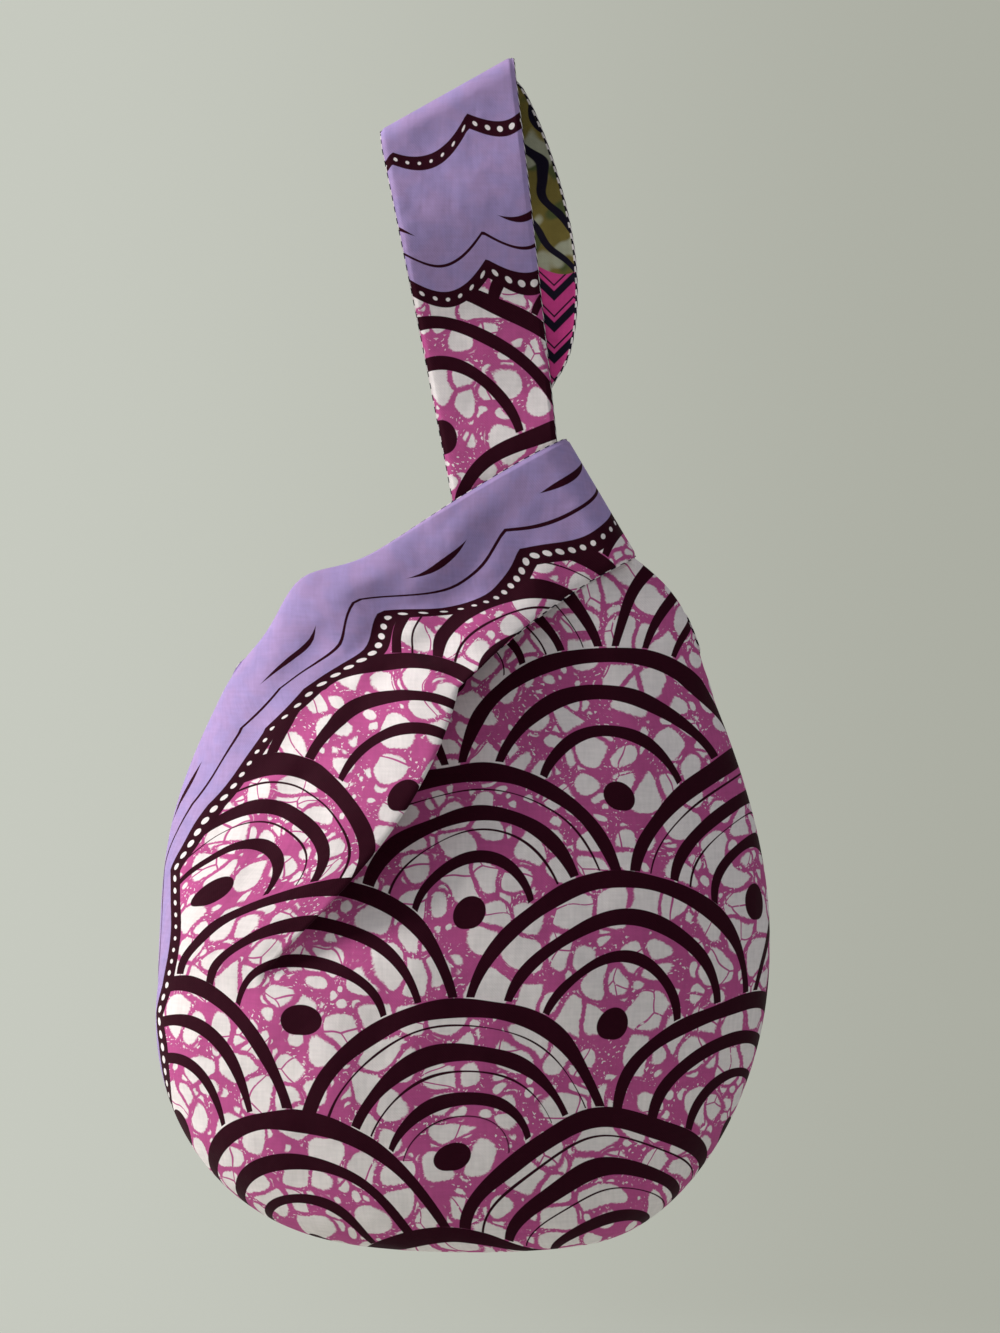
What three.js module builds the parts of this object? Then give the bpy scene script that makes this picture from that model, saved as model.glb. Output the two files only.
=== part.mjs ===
// Japanese knot bag, hanging by its long handle with the short handle closed round it as a loop.
// Millimetres. +X is the viewer's right, +Y points away from the viewer, +Z is up.
// The origin is the hang point: the underside of the long handle's top fold.
import * as THREE from "three";

// Cloth and seams
const OUTER_CLOTH = 0.9;
const LINING_CLOTH = 0.7;
const LAYER_GAP = 0.35; // clearance between neighbouring cloth pieces
const SEAM_WIDTH = 3.4; // room between the front and back halves for the sewn seam

// Body
const BODY_WIDTH = 264;
const BODY_HEIGHT = 239; // base up to the rim, where the handles begin
const BODY_DEPTH = 128;
const BASE_WIDTH = 96;
const BASE_DEPTH = 64;
const RIM_WIDTH = 212;
const RIM_DEPTH = 62;
const WIDEST_AT = 0.5; // share of the body's height
const BODY_LEAN = 9; // the body's middle line drifts this far to the right, base to rim
const BASE_SHIFT = 11; // the flat base sits to the right of that line

// Pleat between the lobe that feeds the short handle and the panel that feeds the long one
const PLEAT_START = 0.5; // share of the body's height where the pleat begins
const PLEAT_LOW = -0.63; // crest at the start, as a share of the half width
const PLEAT_HIGH = -0.075; // crest at the rim
const PLEAT_BEND = 1.45;
const LOBE_RISE = 11;
const LOBE_REACH = 88;
const VALLEY_DEPTH = 8;
const VALLEY_REACH = 70;
const PLEAT_SOFTNESS = 10;

// Long handle
const HANDLE_DROP = 161; // hang point down to the knot
const KNOT_OFFSET = 25; // knot to the right of the hang point
const KNOT_RISE = 94; // rim up to the knot
const STRAP_WIDTH = 62;
const NECK_WIDTH = 48; // the strap gathered inside the loop
const NECK_ROOM = 4.5; // inside each run of the strap at the knot
const NECK_SLANT = 17.5; // degrees, the loop's upper edge across the strap
const FOLD_SLANT = 20.5; // degrees, the top fold across the strap
const FOLD_ROOM = 7; // inside the top fold, for the hook
const LOOP_BULGE = 7; // how far each run of the upper loop bows out
const BACK_BOW = 11.5; // sideways bow of the run behind
const SHOULDER_BULGE = 11; // cloth pushed out below the loop

// Swing line across the long handle
const SWING = 50; // degrees to each side
const SWING_CLEARANCE = 0.1;
const HINGE_ROOM = 0.2; // from the middle to the lining of each run
const FLAT_SHARE = 0.13; // share of each run that lies flat at the swing line
const HINGE_ABOVE_LOOP = 12; // left between the raised loop and the swing line

// Short handle, a loop round the neck
const LOOP_TRAVEL = 24; // how far the loop runs up the long handle
const LOOP_ROOM = 5.5; // inside the loop, in front of the strap and behind it
const LOOP_CLEARANCE = 5; // strap edge to the inside of the loop
const LOOP_RISE = 27.5; // degrees, the way the band climbs to the right
const LOOP_EDGE_HEIGHT = 55; // upper edge down to the lower one at the turn, along the strap
const LOOP_EDGE_SPREAD = 22; // how far the lower edge stands out beyond the upper one
const ARMHOLE_SPREAD = 0.6; // how steeply the armhole's edges part from each other at the side seam
const LOBE_SHARE = 0.985; // share of the lobe's rim that the band takes up
const ROOT_LEAN = 0.5; // how steeply the long handle's roots lean inward under the band
const ROOT_SHARE = 0.02; // share of the panel's rim that stays free beside the pleat

// Print colours of the cloth
const PRINT_COLOUR = 0xa98fc4;
const PANEL_COLOUR = 0xa8558c;
const LINING_COLOUR = 0x8a7a2e;
const SEAM_COLOUR = 0x3a1224;

const STACK = OUTER_CLOTH + LAYER_GAP + LINING_CLOTH;
const SEAM_EDGE = SEAM_WIDTH / 2;
const neckHalfDepth = STACK + NECK_ROOM;
const loopRadius = neckHalfDepth + LOOP_ROOM + STACK;
const foldRadius = STACK + FOLD_ROOM;
const hingeHalfDepth = STACK + HINGE_ROOM;
const CREST_COLUMN = 0.45; // share of the panel's columns that lie left of the pleat

const lerp = THREE.MathUtils.lerp;
const radians = THREE.MathUtils.degToRad;
const smooth = (value, from, to) => THREE.MathUtils.smoothstep(value, from, to);
const point = (x, y, z) => new THREE.Vector3(x, y, z);
const steps = (count) => Array.from({ length: count + 1 }, (_, i) => i / count);
const mirrored = (grid) => grid.map((row) => row.map((p) => point(p.x, -p.y, p.z)).reverse());

// Strap frame: along runs from the knot to the hang point, across runs to the viewer's right.
const knot = point(KNOT_OFFSET, 0, -HANDLE_DROP);
const along = knot.clone().negate().normalize();
const across = point(along.z, 0, -along.x);
const hangHeight = knot.length();
const onStrap = (a, b, y) =>
  knot.clone().addScaledVector(across, a).addScaledVector(along, b).setY(y);

const rimHeight = knot.z - KNOT_RISE;
const baseHeight = rimHeight - BODY_HEIGHT;
const neckSlope = Math.tan(radians(NECK_SLANT));
const foldSlope = Math.tan(radians(FOLD_SLANT));
const loopSide = NECK_WIDTH / 2 + LOOP_CLEARANCE + STACK;
const hingeHeight = loopSide * neckSlope + LOOP_TRAVEL + HINGE_ABOVE_LOOP;
// A layer whose outer face is this far from the middle stops short by this much on each side.
const hingeGap = (halfDepth) => halfDepth * Math.tan(radians(SWING / 2)) + SWING_CLEARANCE / 2;
const outerStop = hingeGap(hingeHalfDepth);
const liningStop = hingeGap(HINGE_ROOM + LINING_CLOTH);

// Half sizes and middle of the body at a share h of its height: a flat base, a rounded lower part and
// a taper to the rim.
function bodyLevel(h) {
  const low = Math.min(h / WIDEST_AT, 1);
  const swell = Math.sqrt(1 - (1 - low) ** 2);
  const taper = Math.max((h - WIDEST_AT) / (1 - WIDEST_AT), 0);
  return {
    z: baseHeight + BODY_HEIGHT * h,
    middle: KNOT_OFFSET / 8 + BODY_LEAN * h + BASE_SHIFT * (1 - swell) ** 2,
    halfWidth: lerp(BASE_WIDTH, BODY_WIDTH, swell) / 2 - (taper ** 2 * (BODY_WIDTH - RIM_WIDTH)) / 2,
    halfDepth: lerp(BASE_DEPTH, BODY_DEPTH, swell) / 2 - (taper ** 1.5 * (BODY_DEPTH - RIM_DEPTH)) / 2,
  };
}

// Crest of the pleat at height h, as a share of the half width.
function crestShare(h) {
  const below = Math.min((1 - h) / (1 - PLEAT_START), 1);
  return PLEAT_HIGH + (PLEAT_LOW - PLEAT_HIGH) * below ** PLEAT_BEND;
}

// Outer face of the front panel: u runs from the left side seam to the right one.
function frontPoint(u, h) {
  const level = bodyLevel(h);
  const crest = Math.acos(-crestShare(h)) / Math.PI;
  const turn =
    u < CREST_COLUMN
      ? crest * (u / CREST_COLUMN)
      : lerp(crest, 1, (u - CREST_COLUMN) / (1 - CREST_COLUMN));
  const x = -level.halfWidth * Math.cos(Math.PI * turn);
  const aside = x - crestShare(h) * level.halfWidth;
  const lobe = LOBE_RISE * (1 - smooth(-aside, 0, LOBE_REACH));
  const valley = -VALLEY_DEPTH * (1 - smooth(aside, 0, VALLEY_REACH));
  const fold = lerp(lobe, valley, smooth(aside, -PLEAT_SOFTNESS, PLEAT_SOFTNESS));
  const depth = Math.sin(Math.PI * turn) * (level.halfDepth + fold * smooth(h, PLEAT_START, 1));
  return point(level.middle + x, -SEAM_EDGE - depth, level.z);
}

// A cubic path from one point to another with the given end directions.
function bridge(from, leave, to, arrive, t) {
  const reach = from.distanceTo(to);
  const t2 = t * t;
  const t3 = t2 * t;
  return from
    .clone()
    .multiplyScalar(2 * t3 - 3 * t2 + 1)
    .addScaledVector(leave, reach * (t3 - 2 * t2 + t))
    .addScaledVector(to, 3 * t2 - 2 * t3)
    .addScaledVector(arrive, reach * (t3 - t2));
}

// Direction in which the body's outline leaves the rim.
const rimDirection = (u) => frontPoint(u, 1).sub(frontPoint(u, 0.97)).normalize();

// A closed cloth solid. The grid is the outer face, rows by columns, and the cloth lies between two
// depths under it. Edges on a seam are cut square to the seam plane, and edges at the rim are cut level.
function cloth(grid, top, bottom) {
  const found = new Map();
  const points = [];
  const index = grid.map((row) =>
    row.map((p) => {
      const key = [p.x, p.y, p.z].map((v) => Math.round(v * 1000)).join();
      if (!found.has(key)) found.set(key, points.push(p) - 1);
      return found.get(key);
    }),
  );
  const faces = [];
  const addFace = (a, b, c) => a !== b && b !== c && c !== a && faces.push([a, b, c]);
  for (let r = 0; r + 1 < index.length; r++)
    for (let c = 0; c + 1 < index[r].length; c++) {
      addFace(index[r][c], index[r][c + 1], index[r + 1][c + 1]);
      addFace(index[r][c], index[r + 1][c + 1], index[r + 1][c]);
    }

  const normals = points.map(() => point(0, 0, 0));
  const edges = new Map();
  for (const [a, b, c] of faces) {
    const ab = points[b].clone().sub(points[a]);
    const normal = ab.cross(points[c].clone().sub(points[a]));
    for (const i of [a, b, c]) normals[i].add(normal);
    for (const [i, j] of [[a, b], [b, c], [c, a]])
      if (!edges.delete(j + "," + i)) edges.set(i + "," + j, [i, j]);
  }
  normals.forEach((n, i) => {
    if (Math.abs(points[i].y) < SEAM_EDGE + 0.01) n.y = 0;
    if (Math.abs(points[i].z - rimHeight) < 2 * LAYER_GAP) n.z = 0;
    n.normalize();
  });

  const count = points.length;
  const sunk = (depth) => points.map((p, i) => p.clone().addScaledVector(normals[i], -depth));
  const triangles = [];
  for (const [a, b, c] of faces) triangles.push(a, b, c, count + a, count + c, count + b);
  for (const [i, j] of edges.values()) triangles.push(j, i, count + i, j, count + i, count + j);
  const geometry = new THREE.BufferGeometry().setFromPoints([...sunk(top), ...sunk(bottom)]);
  geometry.setIndex(triangles);
  geometry.computeVertexNormals();
  return geometry;
}

const bag = new THREE.Group();
bag.name = "knot_bag";

function addPiece(name, geometry, colour) {
  const material = new THREE.MeshStandardMaterial({ color: colour, roughness: 0.9 });
  const mesh = new THREE.Mesh(geometry, material);
  mesh.name = name;
  bag.add(mesh);
}

// An outer piece and its lining, both under the same outer face.
function addLayers(outerName, liningName, grid, colour, liningGrid = grid) {
  addPiece(outerName, cloth(grid, 0, OUTER_CLOTH), colour);
  addPiece(liningName, cloth(liningGrid, OUTER_CLOTH + LAYER_GAP, STACK), LINING_COLOUR);
}

// Body panels: from the seam under the base, forward to its edge, then up to the rim.
const COLUMN_CROWDING = 1.7; // columns crowd towards the pleat
const leftColumns = steps(8).map((t) => CREST_COLUMN * (1 - (1 - t) ** COLUMN_CROWDING));
const rightColumns = steps(9).map((t) => lerp(CREST_COLUMN, 1, t ** COLUMN_CROWDING));
const panelColumns = [...leftColumns, ...rightColumns.slice(1)];
const roundHeights = steps(7).map((t) => WIDEST_AT * (1 - Math.cos((Math.PI / 2) * t)));
const upperHeights = steps(7).map((t) => lerp(WIDEST_AT, 1, t));
const bodyHeights = [...roundHeights, ...upperHeights.slice(1)];
const baseRows = [0, 0.5].map((share) =>
  panelColumns.map((u) => {
    const edge = frontPoint(u, 0);
    return edge.setY(lerp(-SEAM_EDGE, edge.y, share));
  }),
);
const frontPanel = [...baseRows, ...bodyHeights.map((h) => panelColumns.map((u) => frontPoint(u, h)))];
addLayers("outer_front_panel", "lining_front_panel", frontPanel, PANEL_COLOUR);
addLayers("outer_back_panel", "lining_back_panel", mirrored(frontPanel), PANEL_COLOUR);

// Seams: ridges between the front and back edges, through both layers.
const ridgeEdge = SEAM_EDGE - LAYER_GAP;
const ridgeAcross = (p) => [point(p.x, ridgeEdge, p.z), point(p.x, -ridgeEdge, p.z)];
const sideHeights = bodyHeights.slice(1);
const leftSeam = sideHeights.map((h) => ridgeAcross(frontPoint(0, h)));
const rightSeam = sideHeights.map((h) => ridgeAcross(frontPoint(1, h)).reverse());
const baseSeam = panelColumns.map((u) => ridgeAcross(frontPoint(u, 0)).reverse());
addPiece("side_seam_left", cloth(leftSeam, 0, STACK), SEAM_COLOUR);
addPiece("side_seam_right", cloth(rightSeam, 0, STACK), SEAM_COLOUR);
addPiece("base_seam", cloth(baseSeam, 0, STACK), SEAM_COLOUR);

// Short handle: the lobe narrows into a band that climbs to the right in front of the long handle and
// turns round its edge to the back.
const climb = point(Math.cos(radians(LOOP_RISE)), 0, Math.sin(radians(LOOP_RISE)));
const turnUpper = onStrap(loopSide, loopSide * neckSlope, 0);
const turnLower = turnUpper
  .clone()
  .addScaledVector(across, LOOP_EDGE_SPREAD)
  .addScaledVector(along, -LOOP_EDGE_HEIGHT);
function bandStart(q) {
  const u = CREST_COLUMN * LOBE_SHARE * q;
  const start = frontPoint(u, 1);
  const end = bandTurn(q, 0);
  const level = end.clone().sub(start).setY(0).normalize();
  const side = rimDirection(0).setY(-ARMHOLE_SPREAD);
  const leave = side.lerp(level, q).normalize();
  return { start, leave, end };
}
function bandTurn(q, angle) {
  const centre = turnUpper.clone().lerp(turnLower, q).addScaledVector(climb, -loopRadius);
  const straight = SEAM_EDGE + (loopRadius - SEAM_EDGE) * Math.cos(angle);
  return centre.addScaledVector(climb, loopRadius * Math.sin(angle)).setY(-straight);
}
function bandPoint(q, t) {
  const { start, leave, end } = bandStart(q);
  return bridge(start.addScaledVector(leave, LAYER_GAP), leave, end, climb, t);
}
const bandColumns = steps(6);
const band = [
  ...steps(9).map((t) => bandColumns.map((q) => bandPoint(q, t))),
  ...steps(5)
    .slice(1)
    .map((t) => bandColumns.map((q) => bandTurn(q, (t * Math.PI) / 2))),
];
addLayers("short_handle_front_outer", "short_handle_front_lining", band, PRINT_COLOUR);
addLayers("short_handle_back_outer", "short_handle_back_lining", mirrored(band), PRINT_COLOUR);
const bandSeam = bandColumns.map((q) => ridgeAcross(bandTurn(q, Math.PI / 2)));
addPiece("short_handle_seam", cloth(bandSeam, 0, STACK), SEAM_COLOUR);

// Long handle. A row at height b is slanted at the knot and at the top fold, and square at the swing line.
const foldFoot = hangHeight + STACK - foldRadius;
const strapHalf = (b) => lerp(NECK_WIDTH, STRAP_WIDTH, THREE.MathUtils.clamp(b / hangHeight, 0, 1)) / 2;
const bowStart = hingeHeight / 2;
function bow(b) {
  const share = THREE.MathUtils.clamp((b - bowStart) / (foldFoot - bowStart), 0, 1);
  return BACK_BOW * Math.sin(Math.PI * share);
}

// One run of the upper loop, from the swing line (t = 0) to just under the fold (t = 1), then round it.
function upperPoint(side, stop, c, t, angle) {
  const b = lerp(hingeHeight + stop, foldFoot, t);
  const a = c * strapHalf(b) + (side > 0 ? bow(b) : 0);
  const open = Math.max((t - FLAT_SHARE) / (1 - FLAT_SHARE), 0);
  const bulge = LOOP_BULGE * Math.sin(Math.PI * open) ** 2;
  const spread = lerp(hingeHalfDepth, foldRadius, smooth(open, 0, 1)) + bulge;
  const y = SEAM_EDGE + (spread - SEAM_EDGE) * Math.cos(angle);
  return onStrap(a, b + a * foldSlope * t * t + foldRadius * Math.sin(angle), side * y);
}
function upperRun(side, stop) {
  const strapColumns = steps(4).map((c) => 2 * c - 1);
  const run = [
    ...steps(8).map((t) => strapColumns.map((c) => upperPoint(side, stop, c, t, 0))),
    ...steps(5)
      .slice(1)
      .map((t) => strapColumns.map((c) => upperPoint(side, stop, c, 1, (t * Math.PI) / 2))),
  ];
  return side < 0 ? run : run.map((row) => [...row].reverse());
}
for (const [place, side] of [["front", -1], ["back", 1]])
  addLayers(
    `long_handle_${place}_outer`,
    `long_handle_${place}_lining`,
    upperRun(side, outerStop),
    PRINT_COLOUR,
    upperRun(side, liningStop),
  );
const foldSeam = steps(4).map((c) => ridgeAcross(upperPoint(-1, 0, 2 * c - 1, 1, Math.PI / 2)));
addPiece("long_handle_seam", cloth(foldSeam, 0, STACK), SEAM_COLOUR);

// Roots of the long handle: from the rim, gathered through the loop, up to the swing line.
function rootPoint(side, q, t) {
  const u = lerp(CREST_COLUMN, 1, lerp(ROOT_SHARE, 1, q));
  const start = frontPoint(u, 1);
  const c = 2 * q - 1;
  const a = (c * NECK_WIDTH) / 2;
  const neck = onStrap(a, a * neckSlope, -neckHalfDepth);
  const leave = point(0, ROOT_LEAN, 1).lerp(rimDirection(1), q ** 3).normalize();
  const p = bridge(start.addScaledVector(leave, LAYER_GAP), leave, neck, along, t);
  p.x += SHOULDER_BULGE * q ** 3 * Math.sin(Math.PI * Math.min(t / 0.62, 1)) ** 2;
  p.y *= -side;
  return p;
}
function neckPoint(side, stop, q, t) {
  const c = 2 * q - 1;
  const b = lerp(0, hingeHeight - stop, t);
  const a = c * strapHalf(b) + (side > 0 ? bow(b) : 0);
  const y = lerp(neckHalfDepth, hingeHalfDepth, smooth(t, 0, 1 - 2 * FLAT_SHARE));
  return onStrap(a, b + c * strapHalf(b) * neckSlope * (1 - t), side * y);
}
function rootRun(side, stop) {
  const columns = steps(6);
  const lower = steps(8).map((t) => columns.map((q) => rootPoint(side, q, t)));
  const upper = steps(4)
    .slice(1)
    .map((t) => columns.map((q) => neckPoint(side, stop, q, t)));
  const run = [...lower, ...upper];
  return side < 0 ? run : run.map((row) => [...row].reverse());
}
for (const [place, side] of [["front", -1], ["back", 1]])
  addLayers(
    `long_root_${place}_outer`,
    `long_root_${place}_lining`,
    rootRun(side, outerStop),
    PANEL_COLOUR,
    rootRun(side, liningStop),
  );

export default bag;
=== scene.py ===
"""Cloth, linings and seams of a Japanese knot bag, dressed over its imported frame. Metres, +Z up."""

import math
from functools import reduce
from types import SimpleNamespace

import bpy
import numpy as np
from bpy.props import FloatProperty, FloatVectorProperty, PointerProperty
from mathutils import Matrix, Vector


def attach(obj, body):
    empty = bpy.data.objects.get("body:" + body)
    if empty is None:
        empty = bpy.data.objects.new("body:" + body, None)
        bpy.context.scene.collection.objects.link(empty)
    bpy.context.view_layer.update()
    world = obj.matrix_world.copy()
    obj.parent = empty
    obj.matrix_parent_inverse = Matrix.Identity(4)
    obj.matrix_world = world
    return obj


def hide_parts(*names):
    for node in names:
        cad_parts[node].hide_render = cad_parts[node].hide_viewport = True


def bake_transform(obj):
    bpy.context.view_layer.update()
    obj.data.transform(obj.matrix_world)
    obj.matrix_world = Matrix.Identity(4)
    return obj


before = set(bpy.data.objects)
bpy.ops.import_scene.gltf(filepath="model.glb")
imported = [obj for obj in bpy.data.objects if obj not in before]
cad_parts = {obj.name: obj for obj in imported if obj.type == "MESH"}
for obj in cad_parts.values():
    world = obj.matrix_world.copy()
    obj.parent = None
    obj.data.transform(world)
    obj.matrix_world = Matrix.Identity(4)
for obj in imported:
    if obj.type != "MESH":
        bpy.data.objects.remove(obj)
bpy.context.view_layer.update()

bl_info = {
    "name": "Knot bag",
    "version": (1, 0, 0),
    "blender": (4, 5, 0),
    "location": "3D View > Sidebar > Knot bag",
    "description": "Printed cloth, linings and seams of a lined wrist bag, with its stage",
    "category": "Object",
}


def length(name, description, millimetres):
    """A size that a maker may change, given here in millimetres."""
    return FloatProperty(
        name=name, description=description, default=millimetres / 1000, unit="LENGTH", precision=4
    )


def colour(name, description, red, green, blue):
    """A colour that a maker may change, given here as a screen colour from 0 to 255."""
    screen = np.array([red, green, blue]) / 255
    linear = np.where(screen <= 0.04045, screen / 12.92, ((screen + 0.055) / 1.055) ** 2.4)
    return FloatVectorProperty(
        name=name, description=description, default=tuple(linear), size=3, subtype="COLOR", min=0, max=1
    )


class BagSizes(bpy.types.PropertyGroup):
    """Sizes of the bag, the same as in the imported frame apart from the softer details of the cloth."""

    outer_cloth: length("Outer cloth", "Thickness of the printed cotton", 0.8)
    lining_cloth: length("Lining cloth", "Thickness of the lining", 0.6)
    layer_gap: length("Layer gap", "Air between outer cloth and lining", 0.15)
    seam_gap: length("Seam gap", "From the middle plane to the edge of each half at a seam", 0.35)
    body_width: length("Body width", "Across the widest level", 264)
    body_height: length("Body height", "Base up to the rim, where the handles begin", 239)
    body_depth: length("Body depth", "Front to back at the widest level", 128)
    base_width: length("Base width", "Width of the flat base", 96)
    base_depth: length("Base depth", "Depth of the flat base", 64)
    rim_width: length("Rim width", "Width at the rim", 209)
    rim_depth: length("Rim depth", "Depth at the rim", 62)
    body_lean: length("Body lean", "Drift of the middle line to the right, base to rim", 9)
    base_shift: length("Base shift", "How far the base sits to the right of that line", 9.5)
    rim_pull: length("Rim pull", "How far the short handle draws the rim to the left", 3.2)
    left_sag: length("Left sag", "How far the lower left side hangs out", 4)
    lobe_rise: length("Lobe rise", "Height of the lobe left of the pleat", 25)
    lobe_reach: length("Lobe reach", "Distance over which the lobe falls to a third", 46)
    hollow_depth: length("Hollow depth", "Depth of the cloth behind the pleat", 14)
    hollow_reach: length("Hollow reach", "Width over which that hollow dies out", 66)
    pleat_edge: length("Pleat edge", "Half width of the step at the pleat's crest", 4.5)
    pleat_roll: length("Pleat roll", "How far the crest rolls over the cloth behind it", 11)
    handle_drop: length("Handle drop", "Hang point down to the knot", 161)
    knot_offset: length("Knot offset", "Knot to the right of the hang point", 25)
    knot_rise: length("Knot rise", "Rim up to the knot", 94)
    strap_width: length("Strap width", "Width of the long handle at the top", 62)
    neck_width: length("Neck width", "Width of the long handle inside the loop", 48)
    neck_half_depth: length("Neck half depth", "Outer face of each run from the middle, at the knot", 6.45)
    hinge_half_depth: length("Swing line half depth", "The same where the bag swings", 2.15)
    hinge_height: length("Swing line height", "Knot up to the swing line", 45.76)
    fold_radius: length("Fold radius", "Outer radius of the top fold", 8.95)
    loop_bulge: length("Loop bulge", "How far each run of the upper loop bows out", 7)
    back_bow: length("Back bow", "Sideways bow of the run behind", 17)
    bow_start: length("Bow start", "Knot up to where that bow starts, clear of the loop's highest place", 31)
    shoulder_bulge: length("Shoulder bulge", "Cloth pushed out below the loop", 10)
    knuckle: length("Knuckle", "Corner that stands up where the short handle leaves the lobe", 10)
    loop_side: length("Loop side", "Strap's middle to the loop's upper edge at the turn", 29)
    loop_radius: length("Loop radius", "Half the depth of the loop", 13.9)
    loop_edge_height: length("Loop edge height", "Upper edge down to the lower one at the turn", 55)
    loop_edge_spread: length("Loop edge spread", "How far the lower edge stands out", 22)
    edge_roll: length("Edge roll", "How far the cloth turns in at a sewn edge", 0.9)
    lining_peek: length("Lining peek", "How far the lining shows past a handle's edge", 0.38)
    dimple: length("Dimple", "Depth of the soft unevenness of the body", 1.3)
    dent: length("Dent", "Depth of the small dents in the slack cloth of the lobe and the short handle", 1.5)
    pucker: length("Pucker", "Depth of the small gathers above the base", 0.7)
    crease: length("Crease", "Depth of the crease from the neckline's corner into the short handle", 1.8)


class PrintColours(bpy.types.PropertyGroup):
    """Colours of the print, the lining, the seams and the stage."""

    ground: colour("Ground", "Dyed ground of the print", 187, 84, 141)
    bubble: colour("Bubbles", "Undyed bubbles in the ground", 234, 225, 224)
    line: colour("Lines", "Bold drawn lines", 46, 6, 22)
    field: colour("Field", "Plain border field on the handles", 169, 144, 190)
    field_patch: colour("Field patches", "Cooler patches in that field", 162, 143, 192)
    lining: colour("Lining", "Ground of the lining", 206, 66, 136)
    lining_line: colour("Lining lines", "Zigzags and strokes of the lining", 24, 18, 34)
    lining_field: colour("Lining field", "Upper part of the handle's lining", 118, 105, 54)
    lining_leaf: colour("Lining leaves", "Green patches in that part", 82.3, 89, 52.5)
    lining_pale: colour("Lining pale", "Pale patches in that part", 161.7, 161.7, 139.5)
    thread: colour("Thread", "Sewing thread", 70, 24, 46)
    stage: colour("Stage", "Floor and background", 199, 202, 192)
    # Painted shade: the background's colour on the side away from the window
    stage_shade: colour("Stage shade", "Background on the side away from the window", 171, 173, 162)


class PrintSizes(bpy.types.PropertyGroup):
    """Sizes of the print, the stitches and the weave."""

    fan: length("Fan", "Radius of a drawn fan", 70)
    bubble: length("Bubble", "Distance between large bubbles", 16)
    scallop: length("Scallop", "Length of one arch of the border", 66)
    border: length("Border", "Width of the border's line", 9)
    pearl: length("Pearl", "Distance between the border's pearls", 5.4)
    zigzag: length("Zigzag", "Length of one zigzag of the lining", 17)
    dash: length("Dash", "Distance between the dashes along the handles' edges", 5.2)
    stitch: length("Stitch", "Length of one stitch of a seam", 2.6)
    yarn: length("Yarn", "Pitch of the weave", 0.55)


# Shape of the cloth. Heights on the body are shares of its height, from the base up.

CREST = 0.45  # share of the columns that lie left of the pleat
WIDEST = 0.5
BODY_ASIDE = 1 / 8  # share of the knot's offset by which the foot of the body follows it
PULL_FROM = 0.55  # height from which the short handle draws the body to the left
SAG_TOP, SAG_BEND, LOBE_SAG = 0.46, 0.8, 0.55  # top and fullness of the lower sag, and the lobe's share of it
FOLD_FROM, FOLD_FULL, FOLD_BEND = 0.9 * WIDEST, 0.82, 0.7  # where lobe and hollow come in, and how fast
PLEAT_LOW, PLEAT_HIGH, PLEAT_BEND = -0.63, -0.075, 1.45  # crest of the pleat, as shares of the half width
LOBE_SHARE, ROOT_SHARE = 0.985, 0.02  # how much of the rim the short and the long handle take up
KNUCKLE_AT, KNUCKLE_WIDE = 0.35, 0.1  # shares of the short handle's run
SHOULDER_AT, SHOULDER_WIDE = 0.4, 0.3  # shares of the long handle's run below the knot
ROOT_RIPPLE = 0.0022  # depth of the soft folds of the long handle below the knot
RUN_OPENS = 0.13  # share of the upper loop at which its two runs part
NECK_SLOPE, FOLD_SLOPE = np.tan(np.radians([17.5, 20.5]))  # of the strap's rows at the knot and the top fold
# Directions in which the short handle climbs to its turn, and in which its corner stands up
CLIMB, KNUCKLE = (np.array([math.cos(a), 0.0, math.sin(a)]) for a in np.radians([27.5, 120.0]))
CREASE_WAY, CREASE_SIDE = np.array([-0.772, 0.636]), np.array([0.636, 0.772])  # along and across, in x and z
BACKWARD = np.array([0.0, 1.0, 0.0])
IN_PLANE = np.array([1.0, 0.0, 1.0])  # takes the depth off a point
BACK_PRINT = np.array([0.31, 0.17])  # where the back is cut from the printed cloth
EDGE = 0.0022  # width of a rolled edge

# Columns left and right of the pleat's crest
LOBE_COLUMNS, HOLLOW_COLUMNS = 62, 72
# Rows of the base, of the body below and above the widest level, of the short handle up to its turn and round
# it, and of the long handle up to the knot, up to the top fold and round that
BASE_ROWS, LOWER_ROWS, UPPER_ROWS = 10, 46, 56
BAND_ROWS, TURN_ROWS = 52, 21
ROOT_ROWS, STRAP_ROWS, FOLD_ROWS = 26, 38, 9
# Rows and columns over which the cloth is evened out at the rim, and how often
RIM_ROWS, RIM_COLUMNS, RIM_PASSES = 7, 10, 12

# Width of the border's field by the length along the edge, from the rim
FIELD_RUN = [-0.22, -0.165, -0.10, -0.055, -0.02, 0.025, 0.09, 0.16]
FIELD_WIDTH = [-0.02, 0.010, 0.017, 0.026, 0.044, 0.046, 0.04, 0.034]
FIELD_LEAD = 0.045  # distance from the edge at which that length is taken
STRAP_FIELD = 0.088  # length of the field on the long handle
BAND_ARCH, STRAP_ARCH = 0.010, 0.011  # rise of the border's arches


def mix(a, b, t):
    """A share t of the way from a to b."""
    return a + (b - a) * t


def smooth(x, start, end):
    """Rises from 0 at start to 1 at end as a cubic does, level at both."""
    t = np.clip((x - start) / (end - start), 0.0, 1.0)
    return t * t * (3.0 - 2.0 * t)


def wave(turns, start=0.0):
    """Sine of a number of turns."""
    return np.sin(2 * np.pi * turns + start)


def bell(t, middle, width):
    """A bell curve, 1 in its middle and a third at its width."""
    return np.exp(-(((t - middle) / width) ** 2))


def ripple(x, z, across, sway, sway_length, up, slant, lean=0.0):
    """Product of two waves: one across, which leans and sways with the height, and one up, which slants."""
    return np.sin((x + lean * z) / across + sway * np.sin(z / sway_length)) * np.sin(z / up + x / slant)


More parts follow.
